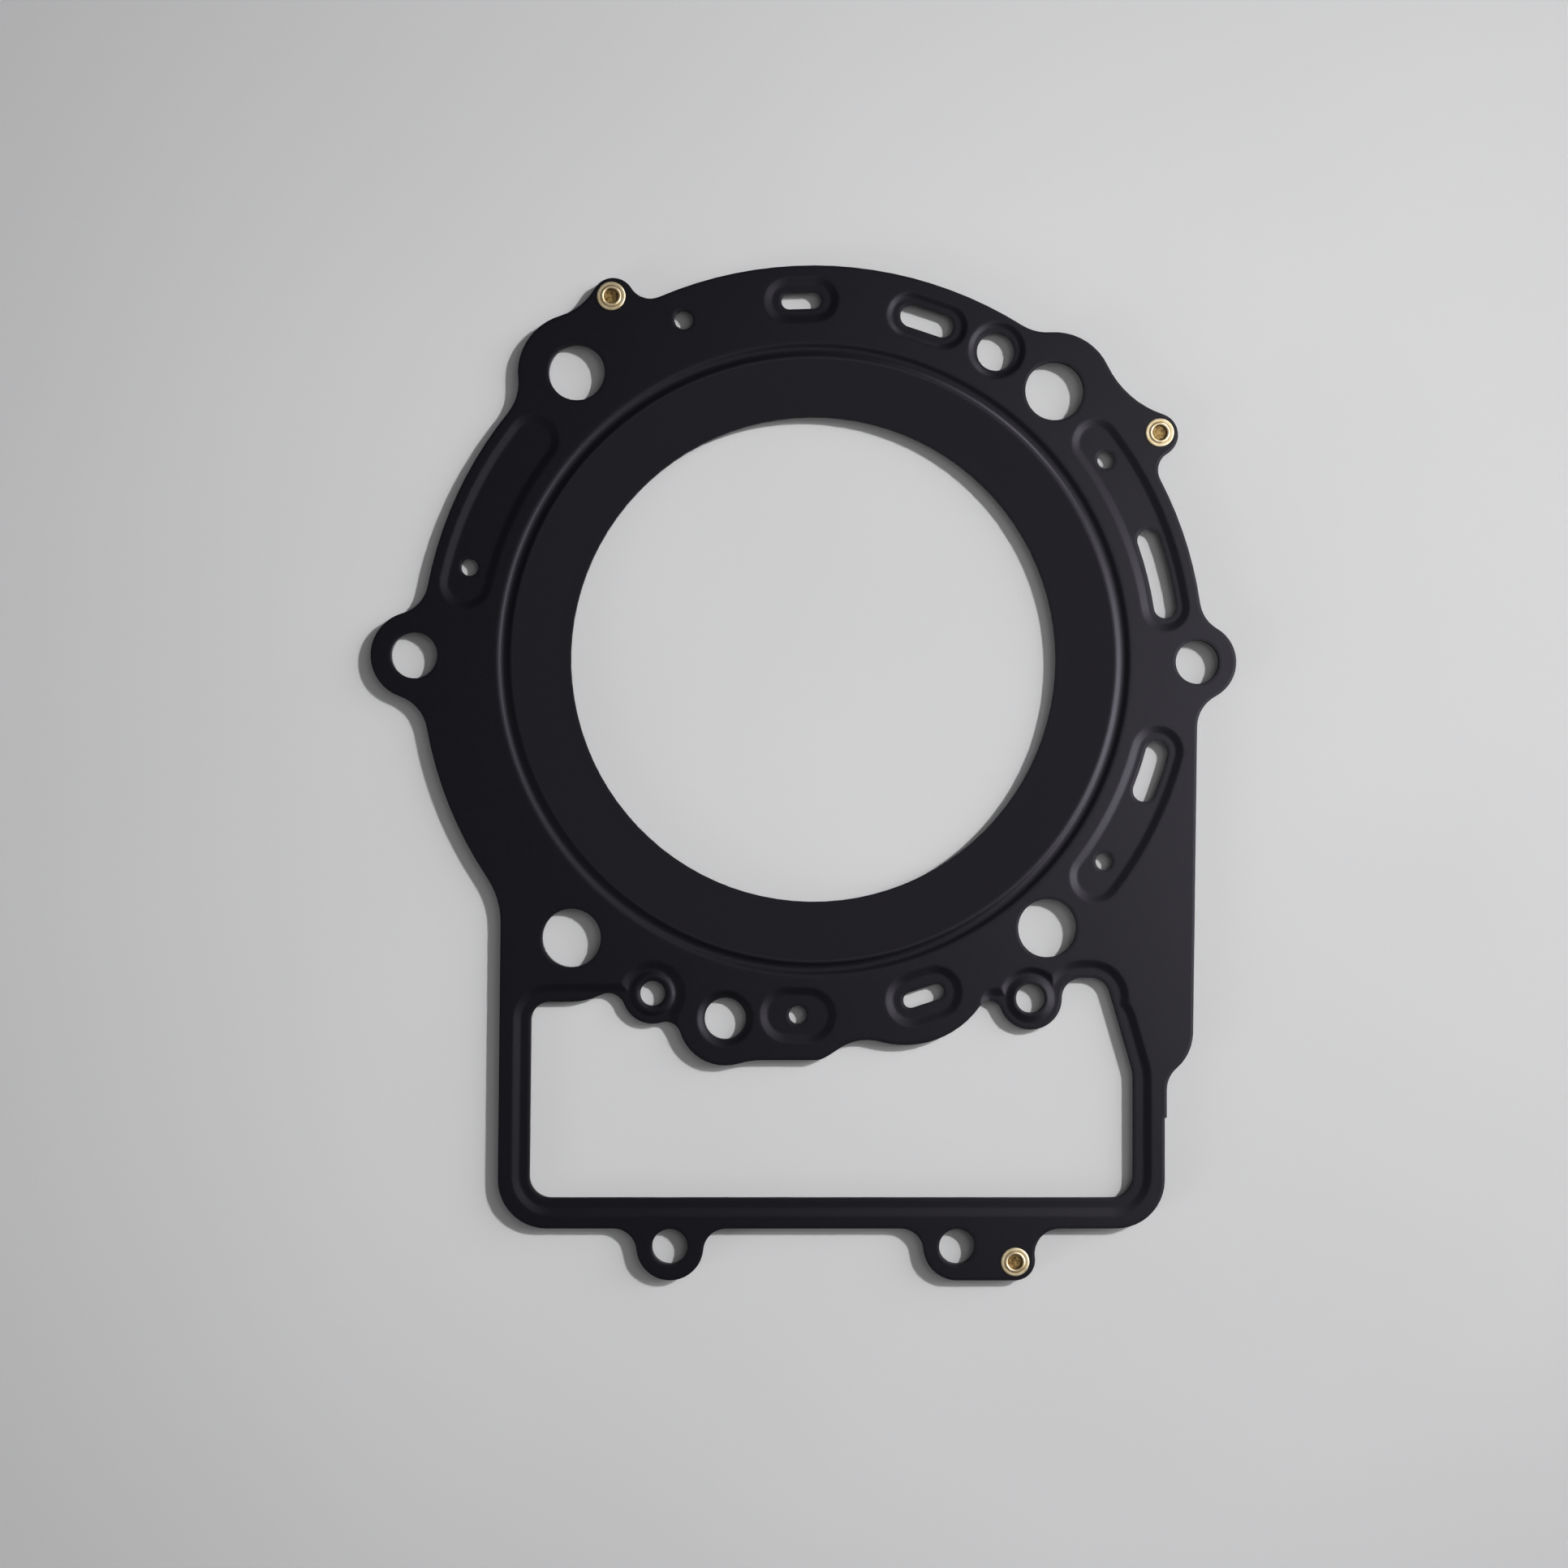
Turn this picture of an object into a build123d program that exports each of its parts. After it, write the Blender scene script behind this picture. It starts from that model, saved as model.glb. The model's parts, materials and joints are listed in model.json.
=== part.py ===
from build123d import *

import os
from dataclasses import dataclass
from math import atan2, copysign, degrees, sqrt

# A multi-layer steel head gasket for one cylinder of a large engine.
#
# Two coated spring-steel layers carry pressed beads. They face each other across a plain
# spacer, a thin stopper ring lies inside the combustion bead, and three tubular rivets hold
# the stack. The origin is on the cylinder's axis, in the middle plane of the spacer.
# +Z points at the cylinder head, and the timing-chain opening is on the -Y side.
# All lengths are in millimetres and all bearings in degrees, anticlockwise from +X.

# ---------------------------------------------------------------- sheets
layer_thickness = 0.25
spacer_thickness = 0.4
stopper_thickness = 0.12
bead_height = 0.35
spacer_port_step = 0.12

# ---------------------------------------------------------------- rings, from the bore outwards
cylinder_bore = 108.0
bore_clearance = 0.5
stopper_width = 10.0
stopper_seat_width = 2.5
inner_land_width = 13.1
bead_ring_width = 3.9
bead_to_jacket = 8.5
jacket_to_rim = 8.2
crown_rise = 0.3

# ---------------------------------------------------------------- studs
stud_hole_diameter = 13.2
close_stud_hole_diameter = 12.6
stud_boss_radius = 13.2
boss_neck_radius = 10.6
stud_upper_left_bearing = 129.5
stud_upper_left_outset = 3.6
stud_upper_right_bearing = 48.05
stud_upper_right_outset = 1.1
stud_lower_left_bearing = -130.95
stud_lower_left_outset = 2.9
stud_lower_right_bearing = -48.95
stud_lower_right_outset = 0.1

# ---------------------------------------------------------------- ears
left_ear_bearing = 179.4
left_ear_outset = 1.5
left_ear_radius = 9.8
left_ear_hole_diameter = 10.4
right_ear_bearing = -0.4
right_ear_inset = 1.9
right_ear_radius = 8.7
right_ear_hole_diameter = 9.8
ear_neck_radius = 7.9
ear_lower_neck_radius = 9.2

# ---------------------------------------------------------------- rivets
rivet_shank_diameter = 4.0
rivet_hole_clearance = 0.1
rivet_flange_diameter = 6.4
rivet_flange_thickness = 0.35
rivet_flange_bevel = 0.12
rivet_lip_diameter = 4.5
rivet_lip_height = 0.12
rivet_recess_diameter = 3.4
rivet_recess_depth = 0.9
rivet_lug_radius = 4.85
rivet_lug_outset = 4.3
rivet_outset = 5.15
rivet_upper_left_bearing = 119.1
rivet_upper_right_bearing = 33.2
right_rim_inset = 0.4
rivet_rim_close_neck_radius = 4.4
rivet_rim_neck_radius = 5.0
rivet_left_neck_radius = 13.2
rivet_right_neck_radius = 21.3

# ---------------------------------------------------------------- timing-chain frame
frame_wall = 7.0
frame_sill = 6.75
frame_left_inset = 17.2
frame_left_lean = 0.6
frame_right_inset = 9.25
frame_drop = 39.65
frame_corner_radius = 10.9
frame_shoulder_radius = 17.9
frame_step = 0.45
frame_step_rise = 24.85
frame_step_radius = 0.2
head_side_inset = 2.9
head_side_drop = 3.9
head_side_lean = 0.75
head_side_corner_radius = 10.7
head_side_neck_radius = 6.5

# ---------------------------------------------------------------- lugs below the frame
lug_offset = 32.25
lug_drop = 11.65
lug_radius = 7.55
lug_hole_diameter = 8.0
lug_neck_radius = 5.2
lower_rivet_offset = 13.05
lower_rivet_rise = 4.2
lower_rivet_lug_radius = 4.5
lower_rivet_neck_radius = 5.7

# ---------------------------------------------------------------- web above the chain opening
left_dowel_bearing = -115.7
left_dowel_outset = 3.3
left_dowel_hole_diameter = 5.8
left_dowel_boss_radius = 6.75
left_dowel_bead_radius = 3.85
left_dowel_bead_width = 2.5
left_dowel_recess_radius = 7.3
right_dowel_bearing = -57.35
right_dowel_outset = 10.5
right_dowel_hole_diameter = 6.7
right_dowel_boss_radius = 6.95
right_dowel_collar_radius = 5.5
right_dowel_rim_radius = 3.7
right_dowel_recess_radius = 7.0
collar_height = 0.3
oil_port_bearing = -103.8
oil_port_outset = 3.1
oil_port_diameter = 9.5
oil_port_boss_radius = 10.5
pocket_boss_bearing = -94.6
pocket_boss_inset = 6.7
pocket_boss_radius = 18.4
slot_boss_bearing = -72.7
slot_boss_inset = 10.75
slot_boss_radius = 20.5
web_depth = 10.0
web_corner_radius = 4.0
web_left_neck_radius = 4.0
web_oil_neck_radius = 3.5
web_pocket_neck_radius = 18.7
web_middle_neck_radius = 11.5
web_notch_radius = 2.8

# ---------------------------------------------------------------- timing-chain opening
opening_corner_radius = 5.0
opening_upper_corner_radius = 4.2
opening_stud_wall = 7.65
finger_rise = 4.7
finger_corner_radius = 4.6
slant_angle = 16.2
slant_drop = 2.95
slant_bend_radius = 10.0

# ---------------------------------------------------------------- coolant ports on the jacket's track
breather_bearing = 110.9
breather_outset = 1.7
breather_diameter = 4.4
crown_slot_bearing = 91.9
crown_slot_outset = 0.65
crown_slot_width = 3.8
crown_slot_travel = 5.4
upper_slot_bearing = 71.45
upper_slot_outset = 0.25
upper_slot_width = 5.2
upper_slot_travel = 7.3
upper_port_bearing = 59.35
upper_port_outset = 0.35
upper_port_diameter = 8.6
jacket_slot_width = 5.3
right_slot_start = 8.5
right_slot_end = 19.5
lower_slot_start = -21.6
lower_slot_end = -15.2
metering_hole_diameter = 4.0
metering_hole_inset = 0.4
upper_metering_bearing = 34.3
lower_metering_bearing = -34.8
side_metering_bearing = 165.0
web_slot_bearing = -71.85
web_slot_inset = 0.35
web_slot_width = 3.7
web_slot_travel = 6.0
web_port_bearing = -92.5
web_port_diameter = 4.2

# ---------------------------------------------------------------- pressed recesses
slope_width = 1.75
narrow_slope_width = 1.3
opening_land_width = 2.2
crown_pocket_radius = 5.1
crown_pocket_travel = 6.5
crown_pocket_outset = 0.8
upper_pocket_travel = 8.3
upper_port_pocket_radius = 6.4
upper_port_pocket_outset = 0.8
right_pocket_half_width = 5.4
right_pocket_start = 8.4
right_pocket_end = 37.5
jacket_pocket_half_width = 5.85
lower_pocket_start = -37.6
lower_pocket_end = -15.0
side_pocket_start = 142.0
side_pocket_end = 167.5
web_slot_pocket_radius = 6.05
web_slot_pocket_travel = 5.4
web_port_pocket_radius = 6.25
web_port_pocket_travel = 4.6
oil_pocket_radius = 6.3
recess_notch_width = 4.25
recess_notch_rise = 2.3
recess_web_corner_radius = 3.0
recess_head_corner_radius = 5.0


@dataclass
class Disc:
    """A round run of an outline, with the metal inside it."""

    centre: Vector
    radius: float


@dataclass
class Side:
    """A straight run of an outline, with the metal on the left of its heading."""

    point: Vector
    heading: Vector


@dataclass
class Slot:
    """A straight slot, or a round hole where its travel is 0."""

    centre: Vector
    radius: float
    travel: float = 0
    tilt: float = 0


@dataclass
class BentSlot:
    """A slot bent about the cylinder's axis, with half-round ends."""

    track_radius: float
    half_width: float
    start: float
    end: float


def outward(side):
    """The direction that leaves the metal at right angles to a straight run."""
    return Vector(side.heading.Y, -side.heading.X)


def blend_centre(first, second, radius):
    """Centre of the arc that touches both runs: outside the metal if the radius is positive."""
    if isinstance(first, Side) and isinstance(second, Side):
        gap = second.point + outward(second) * radius - first.point - outward(first) * radius
        across = gap.dot(outward(second)) / first.heading.dot(outward(second))
        return first.point + outward(first) * radius + first.heading * across
    if isinstance(first, Disc) and isinstance(second, Disc):
        gap = second.centre - first.centre
        reach = first.radius + radius
        along = (reach**2 - (second.radius + radius) ** 2 + gap.length**2) / (2 * gap.length)
        ahead = gap.normalized()
        return first.centre + ahead * along + Vector(ahead.Y, -ahead.X) * sqrt(reach**2 - along**2)
    disc, side, turn = (first, second, 1) if isinstance(first, Disc) else (second, first, -1)
    gap = disc.centre - side.point - outward(side) * radius
    offset = gap.dot(outward(side))
    reach = copysign(turn, turn * radius) * sqrt((disc.radius + radius) ** 2 - offset**2)
    return side.point + outward(side) * radius + side.heading * (gap.dot(side.heading) + reach)


def touch_point(run, centre, radius):
    """Where a blend arc about the given centre touches a run."""
    if isinstance(run, Disc):
        return run.centre + (centre - run.centre).normalized() * run.radius
    return centre - outward(run) * radius


def blend(first, second, radius):
    """Start, centre and end of the arc between two runs. Radius 0 joins a disc to its own tangent."""
    if radius == 0:
        disc, side = (first, second) if isinstance(first, Disc) else (second, first)
        touch = disc.centre + outward(side) * disc.radius
        return touch, touch, touch
    centre = blend_centre(first, second, radius)
    return touch_point(first, centre, radius), centre, touch_point(second, centre, radius)


def bearing(arm):
    """Angle of a direction in degrees, anticlockwise from +X."""
    return degrees(atan2(arm.Y, arm.X))


def arc_about(centre, start, end, clockwise):
    """Add the arc about a centre from one point to another."""
    first_angle = bearing(start - centre)
    sweep = (bearing(end - centre) - first_angle) % 360
    CenterArc(centre, (start - centre).length, first_angle, sweep - 360 if clockwise else sweep)


def draw_loop(loop):
    """Draw a closed outline from pairs of a run and the radius of its blend into the next run."""
    followers = loop[1:] + loop[:1]
    blends = [blend(run, after[0], radius) for (run, radius), after in zip(loop, followers)]
    for index, (run, radius) in enumerate(loop):
        arrive = blends[index - 1][2]
        leave, centre, onward = blends[index]
        if isinstance(run, Disc):
            arc_about(run.centre, arrive, leave, clockwise=False)
        else:
            Line(arrive, leave)
        if radius != 0:
            arc_about(centre, leave, onward, clockwise=radius > 0)


def moved_inward(loop, distance):
    """The same outline, moved into its own metal by a distance."""
    moved = []
    for run, radius in loop:
        if isinstance(run, Disc):
            run = Disc(run.centre, run.radius - distance)
        else:
            run = Side(run.point - outward(run) * distance, run.heading)
        moved.append((run, radius + distance if radius != 0 else 0))
    return moved


def draw_slot(slot, inset=0):
    """Draw a straight or bent slot, made narrower all round by an inset."""
    if isinstance(slot, BentSlot):
        half_width = slot.half_width - inset
        start_centre, end_centre = (polar(slot.track_radius, turn) for turn in (slot.start, slot.end))
        with BuildLine() as edge:
            CenterArc(bore_centre, slot.track_radius + half_width, slot.start, slot.end - slot.start)
            CenterArc(end_centre, half_width, slot.end, 180)
            CenterArc(bore_centre, slot.track_radius - half_width, slot.start, slot.end - slot.start)
            CenterArc(start_centre, half_width, slot.start, -180)
        make_face(edge.edges())
    else:
        with Locations(slot.centre):
            if slot.travel == 0:
                Circle(slot.radius - inset)
            else:
                SlotCenterToCenter(slot.travel, 2 * (slot.radius - inset), rotation=slot.tilt)


def draw_shape(shape, inset=0):
    """Draw a slot or a closed loop of runs as a face."""
    if isinstance(shape, list):
        with BuildLine() as edge:
            draw_loop(moved_inward(shape, -inset))
        make_face(edge.edges())
    else:
        draw_slot(shape, inset)


east = Vector(1, 0)
north = Vector(0, 1)
west = Vector(-1, 0)
south = Vector(0, -1)
bore_centre = Vector(0, 0)

bore_radius = cylinder_bore / 2 + bore_clearance
bead_inner_radius = bore_radius + inner_land_width
bead_outer_radius = bead_inner_radius + bead_ring_width
jacket_radius = bead_outer_radius + bead_to_jacket
rim_radius = jacket_radius + jacket_to_rim
right_rim_radius = rim_radius - right_rim_inset


def polar(radius, turn):
    """A point at a radius and bearing from the cylinder's axis."""
    return east.rotate(Axis.Z, turn) * radius


def on_track(turn, outset=0):
    """A point at a bearing, outside the jacket's track by an outset."""
    return polar(jacket_radius + outset, turn)


def track_slot(turn, outset, radius, travel=0):
    """A straight slot that lies along the jacket's track."""
    return Slot(on_track(turn, outset), radius, travel, tilt=turn - 90)


stud_upper_left = on_track(stud_upper_left_bearing, stud_upper_left_outset)
stud_upper_right = on_track(stud_upper_right_bearing, stud_upper_right_outset)
stud_lower_left = on_track(stud_lower_left_bearing, stud_lower_left_outset)
stud_lower_right = on_track(stud_lower_right_bearing, stud_lower_right_outset)
left_ear = polar(rim_radius + left_ear_outset, left_ear_bearing)
right_ear = polar(rim_radius - right_ear_inset, right_ear_bearing)
left_dowel = on_track(left_dowel_bearing, left_dowel_outset)
right_dowel = on_track(right_dowel_bearing, right_dowel_outset)
oil_port = on_track(oil_port_bearing, oil_port_outset)

frame_left = frame_left_inset - rim_radius
frame_right = rim_radius - frame_right_inset
frame_bottom = -rim_radius - frame_drop
head_side_end = -jacket_radius - head_side_drop
lug_foot = frame_bottom - lug_drop
left_lug = Vector(-lug_offset, lug_foot + lug_radius)
right_lug = Vector(lug_offset, lug_foot + lug_radius)
lower_rivet_x = lug_offset + lower_rivet_offset

rivet_spots = {
    "rivet_upper_left": polar(rim_radius + rivet_outset, rivet_upper_left_bearing),
    "rivet_upper_right": polar(right_rim_radius + rivet_outset, rivet_upper_right_bearing),
    "rivet_lower": Vector(lower_rivet_x, lug_foot + lower_rivet_rise),
}
rim = Disc(bore_centre, rim_radius)
right_rim = Disc(bore_centre, right_rim_radius)
upper_left_lug = Disc(polar(rim_radius + rivet_lug_outset, rivet_upper_left_bearing), rivet_lug_radius)
upper_right_lug = Disc(polar(right_rim_radius + rivet_lug_outset, rivet_upper_right_bearing), rivet_lug_radius)
lower_rivet_lug = Disc(Vector(lower_rivet_x, lug_foot + lower_rivet_lug_radius), lower_rivet_lug_radius)
frame_left_side = Side(Vector(frame_left, frame_bottom), south.rotate(Axis.Z, -frame_left_lean))
frame_foot = Side(Vector(0, frame_bottom), east)
head_side = Side(Vector(rim_radius - head_side_inset, head_side_end), north.rotate(Axis.Z, -head_side_lean))

# The outer edge, anticlockwise from the straight side below the right ear.
outer_loop = [
    (head_side, ear_neck_radius),
    (Disc(right_ear, right_ear_radius), ear_neck_radius),
    (right_rim, rivet_rim_close_neck_radius),
    (upper_right_lug, rivet_right_neck_radius),
    (Disc(stud_upper_right, stud_boss_radius), boss_neck_radius),
    (Disc(bore_centre, rim_radius + crown_rise), rivet_rim_neck_radius),
    (upper_left_lug, rivet_left_neck_radius),
    (Disc(stud_upper_left, stud_boss_radius), boss_neck_radius),
    (rim, ear_neck_radius),
    (Disc(left_ear, left_ear_radius), ear_lower_neck_radius),
    (rim, frame_shoulder_radius),
    (frame_left_side, -frame_corner_radius),
    (frame_foot, lug_neck_radius),
    (Disc(left_lug, lug_radius), lug_neck_radius),
    (frame_foot, lug_neck_radius),
    (Disc(right_lug, lug_radius), 0),
    (Side(Vector(0, lug_foot), east), 0),
    (lower_rivet_lug, lower_rivet_neck_radius),
    (frame_foot, -frame_corner_radius),
    (Side(Vector(frame_right, 0), north), frame_step_radius),
    (Side(Vector(0, frame_bottom + frame_step_rise), east), -frame_step_radius),
    (Side(Vector(frame_right + frame_step, 0), north), head_side_neck_radius),
    (Disc(head_side.point - outward(head_side) * head_side_corner_radius, head_side_corner_radius), 0),
]

# The timing-chain opening, clockwise from its left side, with the metal around it.
opening_right = frame_right - frame_wall
opening_bottom = frame_bottom + frame_sill
web_bottom = -jacket_radius - web_depth
opening_left_side = Side(frame_left_side.point + east * frame_wall, -frame_left_side.heading)
stud_wall = Disc(stud_lower_left, stud_hole_diameter / 2 + opening_stud_wall)
right_dowel_boss = Disc(right_dowel, right_dowel_boss_radius)
finger_top = Side(Vector(0, right_dowel.Y + finger_rise), east)
slant = Side(Vector(opening_right, web_bottom - slant_drop), south.rotate(Axis.Z, slant_angle))
opening_loop = [
    (opening_left_side, opening_upper_corner_radius),
    (Side(stud_lower_left + south * stud_wall.radius, east), 0),
    (stud_wall, web_left_neck_radius),
    (Disc(left_dowel, left_dowel_boss_radius), web_oil_neck_radius),
    (Disc(oil_port, oil_port_boss_radius), web_pocket_neck_radius),
    (Side(Vector(0, web_bottom), east), -web_corner_radius),
    (Disc(on_track(pocket_boss_bearing, -pocket_boss_inset), pocket_boss_radius), web_middle_neck_radius),
    (Disc(on_track(slot_boss_bearing, -slot_boss_inset), slot_boss_radius), web_notch_radius),
    (right_dowel_boss, finger_corner_radius),
    (finger_top, finger_corner_radius),
    (slant, slant_bend_radius),
    (Side(Vector(opening_right, 0), south), opening_corner_radius),
    (Side(Vector(0, opening_bottom), west), opening_corner_radius),
]

with BuildSketch() as outline:
    with BuildLine():
        draw_loop(outer_loop)
    make_face()

with BuildSketch() as opening:
    with BuildLine():
        draw_loop(opening_loop)
    make_face()

# Holes with equal walls in every sheet.
stud_holes = [
    Slot(stud_upper_left, close_stud_hole_diameter / 2),
    Slot(stud_upper_right, stud_hole_diameter / 2),
    Slot(stud_lower_left, stud_hole_diameter / 2),
    Slot(stud_lower_right, stud_hole_diameter / 2),
]
screw_holes = [
    Slot(left_ear, left_ear_hole_diameter / 2),
    Slot(right_ear, right_ear_hole_diameter / 2),
    Slot(left_lug, lug_hole_diameter / 2),
    Slot(right_lug, lug_hole_diameter / 2),
]
rivet_holes = [Slot(spot, rivet_shank_diameter / 2 + rivet_hole_clearance) for spot in rivet_spots.values()]
mounting_holes = stud_holes + screw_holes + rivet_holes

# Ports, which the spacer's edge narrows by a small step.
metering_radius = metering_hole_diameter / 2
ports = [
    track_slot(breather_bearing, breather_outset, breather_diameter / 2),
    track_slot(crown_slot_bearing, crown_slot_outset, crown_slot_width / 2, crown_slot_travel),
    track_slot(upper_slot_bearing, upper_slot_outset, upper_slot_width / 2, upper_slot_travel),
    track_slot(upper_port_bearing, upper_port_outset, upper_port_diameter / 2),
    BentSlot(jacket_radius, jacket_slot_width / 2, right_slot_start, right_slot_end),
    BentSlot(jacket_radius, jacket_slot_width / 2, lower_slot_start, lower_slot_end),
    track_slot(upper_metering_bearing, -metering_hole_inset, metering_radius),
    track_slot(lower_metering_bearing, -metering_hole_inset, metering_radius),
    track_slot(side_metering_bearing, 0, metering_radius),
    track_slot(web_slot_bearing, -web_slot_inset, web_slot_width / 2, web_slot_travel),
    track_slot(web_port_bearing, 0, web_port_diameter / 2),
    Slot(oil_port, oil_port_diameter / 2),
    Slot(left_dowel, left_dowel_hole_diameter / 2),
    Slot(right_dowel, right_dowel_hole_diameter / 2),
]

# The recess round the chain opening. It passes through the opening below the web.
recess_margin = opening_land_width + slope_width
recess_slant = Side(slant.point - outward(slant) * recess_margin, slant.heading)
recess_left_side = Side(opening_left_side.point + west * recess_margin, opening_left_side.heading)
recess_head_left = stud_lower_left.Y - stud_wall.radius + recess_margin
recess_web_left = left_dowel.X + left_dowel_recess_radius - slope_width
recess_web_right = right_dowel.X - right_dowel_boss_radius - recess_notch_width
recess_web_bottom = web_bottom - 2 * slope_width
frame_recess = [
    (recess_left_side, opening_upper_corner_radius + recess_margin),
    (Side(Vector(0, recess_head_left), east), recess_head_corner_radius),
    (Side(Vector(recess_web_left, 0), south), -recess_web_corner_radius),
    (Side(Vector(0, recess_web_bottom), east), -recess_web_corner_radius),
    (Side(Vector(recess_web_right, 0), north), recess_web_corner_radius),
    (Side(Vector(0, right_dowel.Y + recess_notch_rise), east), finger_corner_radius + recess_margin),
    (recess_slant, slant_bend_radius + recess_margin),
    (Side(Vector(opening_right + recess_margin, 0), south), opening_corner_radius + recess_margin),
    (Side(Vector(0, opening_bottom - recess_margin), west), opening_corner_radius + recess_margin),
]
finger_start = blend_centre(right_dowel_boss, finger_top, finger_corner_radius)
finger_end = blend_centre(finger_top, slant, finger_corner_radius)
finger_middle = (finger_start + finger_end) / 2
finger_recess = Slot(finger_middle, finger_corner_radius + recess_margin, finger_end.X - finger_start.X)

crown_pocket = track_slot(crown_slot_bearing, crown_pocket_outset, crown_pocket_radius, crown_pocket_travel)
upper_pocket = track_slot(upper_slot_bearing, upper_slot_outset, crown_pocket_radius, upper_pocket_travel)
web_slot_pocket = track_slot(web_slot_bearing, -web_slot_inset, web_slot_pocket_radius, web_slot_pocket_travel)

# Each recess is listed with the width of the slope that leads down into it.
recesses = [
    (crown_pocket, slope_width),
    (upper_pocket, narrow_slope_width),
    (track_slot(upper_port_bearing, upper_port_pocket_outset, upper_port_pocket_radius), narrow_slope_width),
    (BentSlot(jacket_radius, right_pocket_half_width, right_pocket_start, right_pocket_end), slope_width),
    (BentSlot(jacket_radius, jacket_pocket_half_width, lower_pocket_start, lower_pocket_end), slope_width),
    (BentSlot(jacket_radius, jacket_pocket_half_width, side_pocket_start, side_pocket_end), slope_width),
    (web_slot_pocket, slope_width),
    (track_slot(web_port_bearing, 0, web_port_pocket_radius, web_port_pocket_travel), slope_width),
    (Slot(oil_port, oil_pocket_radius), narrow_slope_width),
    (Slot(left_dowel, left_dowel_recess_radius), slope_width),
    (Slot(right_dowel, right_dowel_recess_radius), narrow_slope_width),
    (finger_recess, slope_width),
    (frame_recess, slope_width),
]

# Levels, from the middle plane of the spacer.
stopper_level = spacer_thickness / 2
upper_land_level = stopper_level + bead_height
stack_top = upper_land_level + layer_thickness
inner_land_fall = bead_height - stopper_thickness
seat_radius = bore_radius + stopper_seat_width


def draw_band(level):
    """One face of the band inside the bead's outer edge, as lines and arcs in radius and height."""
    valley = Vector(bead_inner_radius + bead_ring_width / 2, level - bead_height)
    inner_edge = Vector(bead_inner_radius, level)
    outer_edge = Vector(bead_outer_radius, level)
    inner_flank = (inner_edge + valley) / 2
    outer_flank = (outer_edge + valley) / 2
    TangentArc(outer_edge, outer_flank, tangent=west)
    ThreePointArc(outer_flank, valley, inner_flank)
    TangentArc(inner_edge, inner_flank, tangent=east)
    Polyline(inner_edge, (seat_radius, level - inner_land_fall), (bore_radius, level - inner_land_fall))


def upright_plane(spot):
    """A plane that stands on an axis through a spot: its X is radius and its Y is height."""
    return Plane(origin=spot, x_dir=east, z_dir=south)


def press(shape, slope, level, travel, mode):
    """Add or cut the tapered body between a shape at one level and its floor at another."""
    with BuildSketch(Plane.XY.offset(level)) as rim_face:
        draw_shape(shape)
    with BuildSketch(Plane.XY.offset(level + travel)) as floor_face:
        draw_shape(shape, inset=slope)
    loft([rim_face.sketch, floor_face.sketch], ruled=True, mode=mode)


# The upper sheet: a plate outside the bead ring, a revolved band inside it, and then the
# recesses, each added below as a tapered body and hollowed from above by the same body.
with BuildPart() as upper_bead_layer:
    with BuildSketch(Plane.XY.offset(upper_land_level)):
        add(outline.sketch)
        Circle(bead_outer_radius, mode=Mode.SUBTRACT)
    extrude(amount=layer_thickness)
    with BuildSketch(upright_plane(bore_centre)):
        with BuildLine():
            draw_band(upper_land_level)
            draw_band(stack_top)
            Line((bead_outer_radius, upper_land_level), (bead_outer_radius, stack_top))
            Line((bore_radius, upper_land_level - inner_land_fall), (bore_radius, stack_top - inner_land_fall))
        make_face()
    revolve(axis=Axis.Z)
    for level, mode in ((upper_land_level, Mode.ADD), (stack_top, Mode.SUBTRACT)):
        for shape, slope in recesses:
            press(shape, slope, level, -bead_height, mode)

    # The raised collar of one dowel hole and the raised bead of the other stand on the floor.
    collar = Slot(right_dowel, right_dowel_collar_radius)
    collar_slope = right_dowel_collar_radius - right_dowel_rim_radius
    for floor, mode in ((stack_top - bead_height, Mode.ADD), (stopper_level, Mode.SUBTRACT)):
        press(collar, collar_slope, floor, collar_height, mode)
        crest = Vector(left_dowel_bead_radius, floor + collar_height)
        outer_foot = Vector(left_dowel_bead_radius + left_dowel_bead_width / 2, floor)
        inner_foot = Vector(left_dowel_bead_radius - left_dowel_bead_width / 2, floor)
        with BuildSketch(upright_plane(left_dowel)):
            with BuildLine():
                ThreePointArc(outer_foot, crest, inner_foot)
                Line(inner_foot, outer_foot)
            make_face()
        revolve(axis=Axis(left_dowel, (0, 0, 1)), mode=mode)

    with BuildSketch(Plane.XY.offset(stopper_level)):
        add(opening.sketch)
        for hole in mounting_holes + ports:
            draw_slot(hole)
    extrude(amount=stack_top - stopper_level, mode=Mode.SUBTRACT)

# The lower sheet is the same stamping, turned to face the other way.
with BuildPart() as lower_bead_layer:
    mirror(upper_bead_layer.part, about=Plane.XY)

with BuildPart() as spacer_layer:
    with BuildSketch(Plane.XY.offset(-stopper_level)):
        add(outline.sketch)
        Circle(bore_radius, mode=Mode.SUBTRACT)
    extrude(amount=spacer_thickness)
    with BuildSketch(Plane.XY.offset(-stopper_level)):
        draw_shape(opening_loop, inset=spacer_port_step)
        for hole in mounting_holes:
            draw_slot(hole)
        for port in ports:
            draw_slot(port, inset=spacer_port_step)
    extrude(amount=spacer_thickness, mode=Mode.SUBTRACT)

with BuildPart() as stopper_ring:
    with BuildSketch(Plane.XY.offset(stopper_level)):
        Circle(bore_radius + stopper_width)
        Circle(bore_radius, mode=Mode.SUBTRACT)
    extrude(amount=stopper_thickness)


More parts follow.
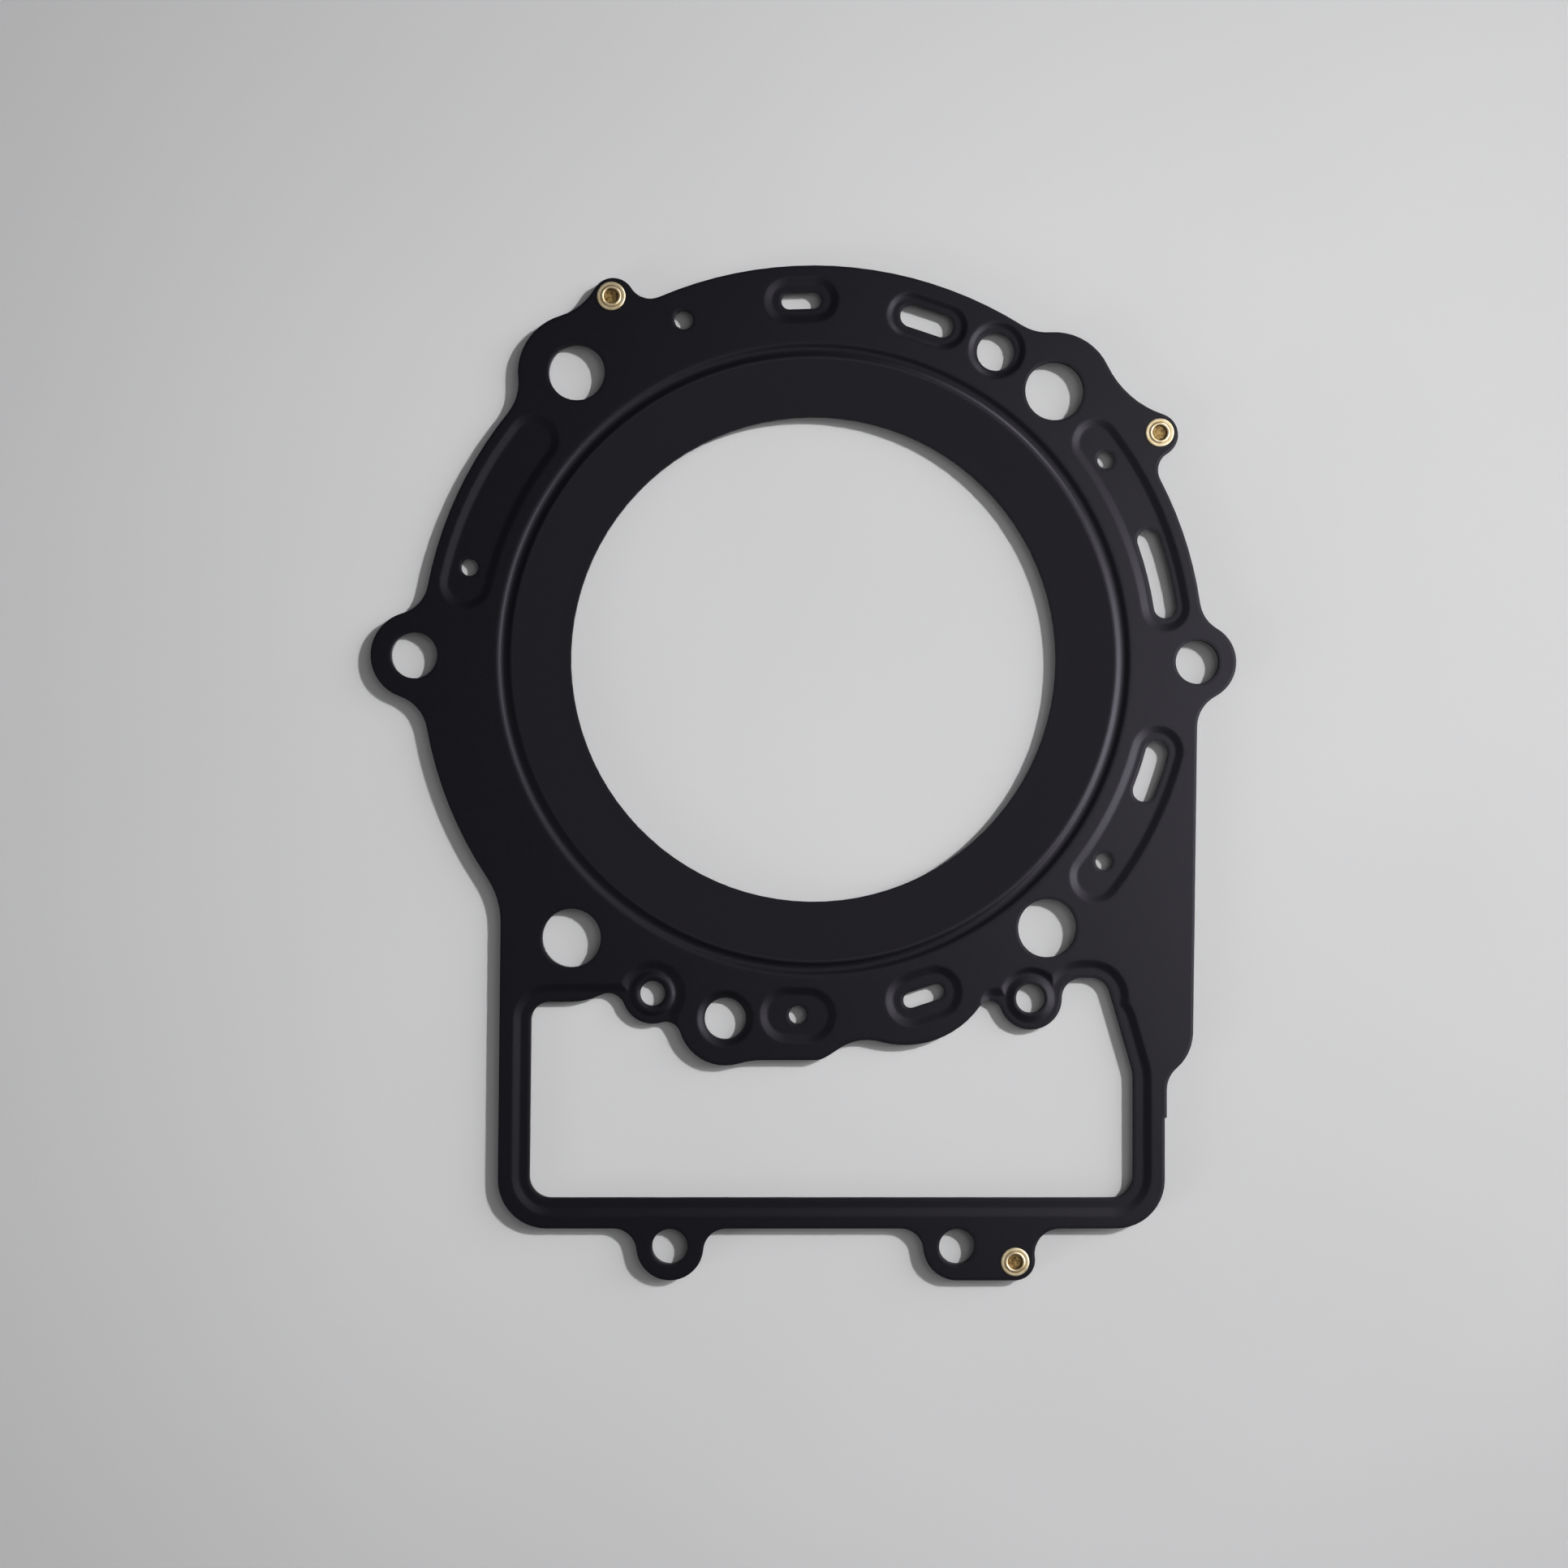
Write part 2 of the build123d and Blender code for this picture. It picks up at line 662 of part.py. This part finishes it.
def build_rivet(spot):
    """A tubular rivet: flange, shank and crimped head, with a raised lip round a blind recess."""
    head_top = stack_top + rivet_flange_thickness
    flange_radius = rivet_flange_diameter / 2
    face_radius = flange_radius - rivet_flange_bevel
    shank_radius = rivet_shank_diameter / 2
    lip_radius = rivet_lip_diameter / 2
    recess_radius = rivet_recess_diameter / 2
    recess_floor = head_top - rivet_recess_depth
    lip_crest = ((lip_radius + recess_radius) / 2, head_top + rivet_lip_height)
    with BuildPart() as rivet:
        with BuildSketch(upright_plane(spot)):
            with BuildLine():
                Polyline(
                    (recess_radius, head_top),
                    (recess_radius, recess_floor),
                    (0, recess_floor),
                    (0, -head_top),
                    (face_radius, -head_top),
                    (flange_radius, rivet_flange_bevel - head_top),
                    (flange_radius, -stack_top),
                    (shank_radius, -stack_top),
                    (shank_radius, stack_top),
                    (flange_radius, stack_top),
                    (flange_radius, head_top - rivet_flange_bevel),
                    (face_radius, head_top),
                    (lip_radius, head_top),
                )
                ThreePointArc((lip_radius, head_top), lip_crest, (recess_radius, head_top))
            make_face()
        revolve(axis=Axis(spot, (0, 0, 1)))
    return rivet.part


pieces = {
    "upper_bead_layer": upper_bead_layer.part,
    "lower_bead_layer": lower_bead_layer.part,
    "spacer_layer": spacer_layer.part,
    "stopper_ring": stopper_ring.part,
}
for name, spot in rivet_spots.items():
    pieces[name] = build_rivet(spot)

os.makedirs("parts", exist_ok=True)
for name, piece in pieces.items():
    piece.label = name
    export_step(piece, f"parts/{name}.step")
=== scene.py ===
import json
from math import cos, radians, sin

import bpy
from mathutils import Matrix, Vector


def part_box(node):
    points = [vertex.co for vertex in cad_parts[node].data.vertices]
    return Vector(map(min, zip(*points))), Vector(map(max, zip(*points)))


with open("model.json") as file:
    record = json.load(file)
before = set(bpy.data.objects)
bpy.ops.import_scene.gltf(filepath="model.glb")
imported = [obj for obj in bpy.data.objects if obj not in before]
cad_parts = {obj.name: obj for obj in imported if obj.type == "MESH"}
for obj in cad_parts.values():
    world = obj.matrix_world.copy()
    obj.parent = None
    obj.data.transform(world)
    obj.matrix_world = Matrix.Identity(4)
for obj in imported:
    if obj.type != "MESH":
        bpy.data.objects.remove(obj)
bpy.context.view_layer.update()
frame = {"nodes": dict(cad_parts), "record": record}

scene = bpy.context.scene
nodes = frame["nodes"]
mm = 0.001

# Sizes in millimetres that the materials follow. The bead ring's and the rivets' are the
# source's own; the roundings are those of a pressed bend, a cut edge and a rivet's lip.
bead_inner = 67.6
bead_width = 3.9
bead_depth = 0.35
rivet_width = 6.4
rivet_groove = 2.36
bend_rounding = 0.85
edge_rounding = 0.2
rivet_rounding = 0.4

# The floor's half width, the centre of the light painted on it, and the radii between which that
# painted light fades to a darker colour.
floor_reach = 3000
floor_gap = 0.02
painted_light_centre = {"X": 45, "Y": -50}
painted_light_radius = 150
painted_dimming_radius = 300

# The middle of the photograph's frame and its width on the gasket's top face.
view_middle = (-6.6, -28.0)
view_width = 352.2

# ---------------------------------------------------------------- shader helpers


def new_material(name):
    """A node material with a Principled shader, and its tree."""
    material = bpy.data.materials.new(name)
    material.use_nodes = True
    tree = material.node_tree
    return material, tree, tree.nodes["Principled BSDF"]


def add_node(tree, kind, **values):
    """A node with its properties and input sockets set by name."""
    node = tree.nodes.new(kind)
    for key, value in values.items():
        if hasattr(node, key):
            setattr(node, key, value)
        else:
            node.inputs[key].default_value = value
    return node


def noise(tree, scale, detail=3.0, roughness=0.55):
    """Noise in object space, with its scale in cells a millimetre."""
    where = tree.nodes.new("ShaderNodeTexCoord")
    node = add_node(
        tree, "ShaderNodeTexNoise", Scale=scale / mm, Detail=detail, Roughness=roughness
    )
    tree.links.new(where.outputs["Object"], node.inputs["Vector"])
    return node.outputs["Fac"]


def spread(tree, source, low, high, start=0.3, end=0.7):
    """A value mapped from start..end onto low..high."""
    node = tree.nodes.new("ShaderNodeMapRange")
    node.inputs["From Min"].default_value = start
    node.inputs["From Max"].default_value = end
    node.inputs["To Min"].default_value = low
    node.inputs["To Max"].default_value = high
    tree.links.new(source, node.inputs["Value"])
    return node.outputs["Result"]


def blend_colours(tree, factor, first, second):
    """A mix of two colours, each a colour or an output."""
    node = add_node(tree, "ShaderNodeMix", data_type="RGBA")
    tree.links.new(factor, node.inputs["Factor"])
    for socket, value in ((node.inputs[6], first), (node.inputs[7], second)):
        if isinstance(value, tuple):
            socket.default_value = (*value, 1.0)
        else:
            tree.links.new(value, socket)
    return node.outputs[2]


def blend_vectors(tree, factor, first, second):
    """A mix of two vector outputs."""
    node = add_node(tree, "ShaderNodeMix", data_type="VECTOR")
    tree.links.new(factor, node.inputs["Factor"])
    for socket, value in ((node.inputs[4], first), (node.inputs[5], second)):
        tree.links.new(value, socket)
    return node.outputs[1]


def combine(tree, operation, first, second=0.0):
    """A sum, product or other operation on two values, each a number or an output."""
    node = add_node(tree, "ShaderNodeMath", operation=operation)
    for socket, value in ((node.inputs[0], first), (node.inputs[1], second)):
        if isinstance(value, float):
            socket.default_value = value
        else:
            tree.links.new(value, socket)
    return node.outputs[0]


def split_vector(tree, source):
    """The X, Y and Z outputs of a vector."""
    node = tree.nodes.new("ShaderNodeSeparateXYZ")
    tree.links.new(source, node.inputs[0])
    return node.outputs


def join_vector(tree, x, y, z):
    """A vector from three outputs."""
    node = tree.nodes.new("ShaderNodeCombineXYZ")
    for socket, value in zip(node.inputs, (x, y, z)):
        tree.links.new(value, socket)
    return node.outputs[0]


def length_across(tree, x, y):
    """The length of a flat vector from its two outputs."""
    squares = [combine(tree, "MULTIPLY", value, value) for value in (x, y)]
    return combine(tree, "SQRT", combine(tree, "ADD", *squares))


def object_position(tree):
    """The X, Y and Z outputs of the place on the object, in metres."""
    return split_vector(tree, tree.nodes.new("ShaderNodeTexCoord").outputs["Object"])


def bore_radius(tree):
    """The distance from the bore's axis."""
    spot = object_position(tree)
    return length_across(tree, spot["X"], spot["Y"])


def upright_part(tree):
    """The Z output of the mesh's own normal."""
    geometry = tree.nodes.new("ShaderNodeNewGeometry")
    return split_vector(tree, geometry.outputs["True Normal"])["Z"]


def wall_mask(tree):
    """1 on an upright punched wall and 0 on a sheet's face, from the mesh's own normal."""
    level = combine(tree, "ABSOLUTE", upright_part(tree))
    return spread(tree, level, low=1.0, high=0.0, start=0.35, end=0.6)


def land_mask(tree):
    """1 on the matt land between the bore and the bead ring, 0 outside it."""
    start = (bead_inner - 0.2) * mm
    end = (bead_inner + 0.6) * mm
    return spread(tree, bore_radius(tree), low=1.0, high=0.0, start=start, end=end)


def rounded(tree, radius, samples=8):
    """The surface's normal with its edges rounded by a radius in millimetres."""
    node = add_node(tree, "ShaderNodeBevel", samples=samples, Radius=radius * mm)
    return node.outputs["Normal"]


def bump(tree, height, distance, strength, normal=None):
    """A bump of a distance in millimetres, over the surface's normal or another one."""
    node = add_node(tree, "ShaderNodeBump", Strength=strength, Distance=distance * mm)
    tree.links.new(height, node.inputs["Height"])
    if normal:
        tree.links.new(normal, node.inputs["Normal"])
    return node.outputs["Normal"]


def bead_normal(tree):
    """The normal of the bead ring, whose profile is three equal arcs."""
    quarter = bead_width / 4
    curve = (quarter ** 2 + (bead_depth / 2) ** 2) / bead_depth
    spot = object_position(tree)
    radius = length_across(tree, spot["X"], spot["Y"])
    along = combine(tree, "ADD", radius, (quarter - bead_inner) * mm)
    lean = combine(tree, "PINGPONG", along, 2 * quarter * mm)
    lean = combine(tree, "DIVIDE", combine(tree, "SUBTRACT", lean, quarter * mm), curve * mm)
    sideways = [
        combine(tree, "MULTIPLY", lean, combine(tree, "DIVIDE", spot[axis], radius))
        for axis in ("X", "Y")
    ]
    square = combine(tree, "MULTIPLY", lean, lean)
    upward = combine(tree, "SQRT", combine(tree, "SUBTRACT", 1.0, square))
    upward = combine(tree, "MULTIPLY", upward, combine(tree, "SIGN", upright_part(tree)))
    return join_vector(tree, *sideways, upward)


def pressed_normal(tree):
    """The normal of a pressed sheet: soft bends at the recesses, crisp cut edges, and a bead
    that follows its three arcs exactly."""
    soft = rounded(tree, bend_rounding, samples=12)
    level = combine(tree, "ABSOLUTE", split_vector(tree, soft)["Z"])
    bend = spread(tree, level, low=0.0, high=1.0, start=0.935, end=0.955)
    sheet = blend_vectors(tree, bend, rounded(tree, edge_rounding), soft)
    on_bead = add_node(tree, "ShaderNodeMath", operation="COMPARE")
    tree.links.new(bore_radius(tree), on_bead.inputs[0])
    on_bead.inputs[1].default_value = (bead_inner + bead_width / 2) * mm
    on_bead.inputs[2].default_value = bead_width / 2 * mm
    return blend_vectors(tree, on_bead.outputs[0], sheet, bead_normal(tree))


# ---------------------------------------------------------------- materials


def coated_steel():
    """Satin black rubber-based coating, finely speckled, with bare steel at the punched walls."""
    material, tree, shader = new_material("black_coating")
    wall = wall_mask(tree)
    land = land_mask(tree)
    grain = noise(tree, scale=3.2, detail=4.0, roughness=0.7)
    fleck = spread(tree, grain, low=0.0, high=1.0, start=0.36, end=0.66)
    flow = spread(tree, noise(tree, scale=0.045), low=0.0, high=0.5)
    mottle = spread(tree, noise(tree, scale=1.4), low=0.0, high=1.0)
    satin = blend_colours(tree, fleck, (0.0010, 0.0008, 0.0019), (0.0025, 0.0022, 0.0038))
    satin = blend_colours(tree, flow, satin, (0.0023, 0.0020, 0.0034))
    matt = blend_colours(tree, fleck, (0.0018, 0.0014, 0.0030), (0.0040, 0.0034, 0.0056))
    coat = blend_colours(tree, land, satin, matt)
    steel = blend_colours(tree, mottle, (0.03, 0.03, 0.033), (0.09, 0.09, 0.093))
    tree.links.new(blend_colours(tree, wall, coat, steel), shader.inputs["Base Color"])
    tree.links.new(combine(tree, "MULTIPLY", wall, 0.35), shader.inputs["Metallic"])
    satin_roughness = spread(tree, grain, low=0.32, high=0.41)
    added_on_land = combine(tree, "MULTIPLY", land, 0.48)
    roughness = combine(tree, "ADD", satin_roughness, added_on_land)
    tree.links.new(roughness, shader.inputs["Roughness"])
    surface = bump(tree, grain, distance=0.02, strength=0.5, normal=pressed_normal(tree))
    tree.links.new(surface, shader.inputs["Normal"])
    shader.inputs["Specular IOR Level"].default_value = 0.3
    shader.inputs["Specular Tint"].default_value = (0.9, 0.86, 1.0, 1.0)
    return material


def bare_steel():
    """Rolled steel, with a fine grain and a faint mottle."""
    material, tree, shader = new_material("bare_steel")
    mottle = spread(tree, noise(tree, scale=0.7, detail=4.0), low=0.0, high=1.0)
    grain = noise(tree, scale=5.0, detail=2.0)
    colour = blend_colours(tree, mottle, (0.03, 0.03, 0.032), (0.07, 0.07, 0.072))
    tree.links.new(colour, shader.inputs["Base Color"])
    shader.inputs["Metallic"].default_value = 1.0
    tree.links.new(spread(tree, grain, low=0.3, high=0.46), shader.inputs["Roughness"])
    surface = bump(tree, grain, distance=0.01, strength=0.25)
    tree.links.new(surface, shader.inputs["Normal"])
    return material


def brass():
    """Pale yellow metal, with painted shade: a dark brown ring in the groove round the lip, and a
    speckled recess painted darker, its wall darkest.
    """
    material, tree, shader = new_material("brass")
    height = object_position(tree)["Z"]
    depth = combine(tree, "ABSOLUTE", height)
    deep = spread(tree, depth, low=1.0, high=0.0, start=0.45 * mm, end=1.0 * mm)

    # The distance from the rivet's axis, as a share of its width.
    place = split_vector(tree, tree.nodes.new("ShaderNodeTexCoord").outputs["Generated"])
    offsets = [combine(tree, "SUBTRACT", place[axis], 0.5) for axis in ("X", "Y")]
    radius = length_across(tree, *offsets)
    # Painted shade: a thin ring at the groove round the lip, coloured dark brown.
    groove = combine(tree, "SUBTRACT", radius, rivet_groove / rivet_width)
    groove = combine(tree, "ABSOLUTE", groove)
    dark_half_width, soft_half_width = 0.03 / rivet_width, 0.2 / rivet_width
    groove = spread(tree, groove, low=0.9, high=0.0, start=dark_half_width, end=soft_half_width)
    on_top = spread(tree, height, low=0.0, high=1.0, start=0.9 * mm, end=1.1 * mm)
    groove = combine(tree, "MULTIPLY", groove, on_top)

    grain = noise(tree, scale=1.9)
    speckle = spread(tree, grain, low=0.0, high=1.0, start=0.35, end=0.65)
    tarnish = noise(tree, scale=0.8, detail=4.0)
    tarnish = spread(tree, tarnish, low=0.0, high=1.0, start=0.35, end=0.65)
    # Painted shade in the hollow: the recess wall dark brown all round, and the speckled recess
    # floor darker than the head.
    recess_wall_shade = spread(tree, radius, low=0.0, high=1.0, start=0.2, end=0.265)
    bright = blend_colours(tree, tarnish, (0.66, 0.52, 0.29), (0.78, 0.68, 0.47))
    bright = blend_colours(tree, groove, bright, (0.24, 0.13, 0.04))
    recess = blend_colours(tree, speckle, (0.13, 0.066, 0.016), (0.46, 0.31, 0.11))
    recess = blend_colours(tree, recess_wall_shade, recess, (0.13, 0.065, 0.02))
    tree.links.new(blend_colours(tree, deep, bright, recess), shader.inputs["Base Color"])
    metallic = spread(tree, deep, low=0.72, high=0.6, start=0.0, end=1.0)
    tree.links.new(metallic, shader.inputs["Metallic"])
    tree.links.new(spread(tree, grain, low=0.3, high=0.42), shader.inputs["Roughness"])
    relief = combine(tree, "MULTIPLY", grain, deep)
    edges = rounded(tree, rivet_rounding, samples=16)
    surface = bump(tree, relief, distance=0.12, strength=0.5, normal=edges)
    tree.links.new(surface, shader.inputs["Normal"])
    return material


def pale_floor():
    """Pale matt paper with painted light: a little darker far from its painted brightest spot."""
    material, tree, shader = new_material("pale_floor")
    spot = object_position(tree)
    offsets = [combine(tree, "SUBTRACT", spot[axis], painted_light_centre[axis] * mm) for axis in ("X", "Y")]
    far = length_across(tree, *offsets)
    # Painted light: the colour darkens between the two radii from the painted light's centre.
    shade = spread(tree, far, low=0.0, high=1.0, start=painted_light_radius * mm, end=painted_dimming_radius * mm)
    cloud = spread(tree, noise(tree, scale=0.006, detail=2.0), low=0.0, high=1.0)
    colour = blend_colours(tree, cloud, (0.69, 0.69, 0.698), (0.73, 0.73, 0.739))
    colour = blend_colours(tree, shade, colour, (0.57, 0.57, 0.578))
    tree.links.new(colour, shader.inputs["Base Color"])
    shader.inputs["Roughness"].default_value = 0.75
    return material


finishes = {"black_coating": coated_steel(), "bare_steel": bare_steel(), "brass": brass()}
for row in frame["record"]["subparts"]:
    for slot in nodes[row["node"]].material_slots:
        slot.material = finishes[row["material_slot"]]

# ---------------------------------------------------------------- floor, light and camera

# The floor lies a hair below the lower rivet heads, so the two surfaces don't coincide.
floor_level = min(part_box(name)[0].z for name in nodes) - floor_gap * mm
reach = floor_reach * mm
corners = [(x * reach, y * reach, floor_level) for x, y in ((-1, -1), (1, -1), (1, 1), (-1, 1))]
floor_mesh = bpy.data.meshes.new("floor")
floor_mesh.from_pydata(corners, [], [(0, 1, 2, 3)])
floor_mesh.materials.append(pale_floor())
floor = bpy.data.objects.new("floor", floor_mesh)
scene.collection.objects.link(floor)

world = bpy.data.worlds.new("studio")
scene.world = world
world.use_nodes = True
sky = world.node_tree.nodes["Background"]
sky.inputs["Color"].default_value = (0.97, 0.98, 1.0, 1.0)
sky.inputs["Strength"].default_value = 0.09

top_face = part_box("upper_bead_layer")[1].z
middle = Vector((view_middle[0] * mm, view_middle[1] * mm, top_face))


def hang_light(name, data, bearing, elevation, distance):
    """A light that looks at the view's middle from a bearing and an elevation."""
    light = bpy.data.objects.new(name, data)
    turn, rise = radians(bearing), radians(elevation)
    away = Vector((cos(rise) * cos(turn), cos(rise) * sin(turn), sin(rise)))
    light.location = middle + away * distance
    light.rotation_euler = (-away).to_track_quat("-Z", "Y").to_euler()
    light.visible_camera = False
    scene.collection.objects.link(light)
    return light


def area_light(name, bearing, elevation, distance, size, power, fan=180):
    """A square light, in metres and watts, whose beam fans out by an angle."""
    data = bpy.data.lights.new(name, "AREA")
    data.size = size
    data.energy = power
    data.spread = radians(fan)
    return hang_light(name, data, bearing, elevation, distance)


def even_light(name, bearing, elevation, width, strength):
    """A light of an angular width that falls alike on the whole floor."""
    data = bpy.data.lights.new(name, "SUN")
    data.angle = radians(width)
    data.energy = strength
    return hang_light(name, data, bearing, elevation, distance=1.0)


# The key makes the shadows, and the panel, the bounce and the wash soften them. The cards
# show only as reflections, as white boards beside a dark glossy object do.
shadow_lights = [
    area_light("key", bearing=29, elevation=29.5, distance=2.4, size=0.1, power=5.15, fan=60),
    area_light("panel", bearing=35, elevation=50, distance=1.5, size=1.0, power=2.0),
    even_light("bounce", bearing=209, elevation=8, width=15, strength=1.13),
]
for light in shadow_lights:
    light.visible_glossy = False
even_light("wash", bearing=20, elevation=16, width=34, strength=1.98)
cards = [
    area_light("fill_card", bearing=205, elevation=55, distance=1.5, size=1.0, power=0.8),
    area_light("key_card", bearing=50, elevation=34, distance=1.6, size=0.25, power=8),
    area_light("side_card", bearing=-5, elevation=47, distance=1.1, size=0.6, power=10.4),
    area_light("top_card", bearing=22, elevation=76, distance=1.3, size=0.5, power=1.2),
]
for card in cards:
    card.visible_diffuse = False

# The camera looks straight down on the gasket, as the photograph's does.
camera_data = bpy.data.cameras.new("camera")
camera_data.lens = 50
camera_data.sensor_width = 36
camera_data.clip_start = 0.01
camera_height = view_width * mm * camera_data.lens / camera_data.sensor_width
camera = bpy.data.objects.new("camera", camera_data)
camera.location = middle + Vector((0, 0, camera_height))
scene.collection.objects.link(camera)
scene.camera = camera

scene.view_settings.view_transform = "Standard"
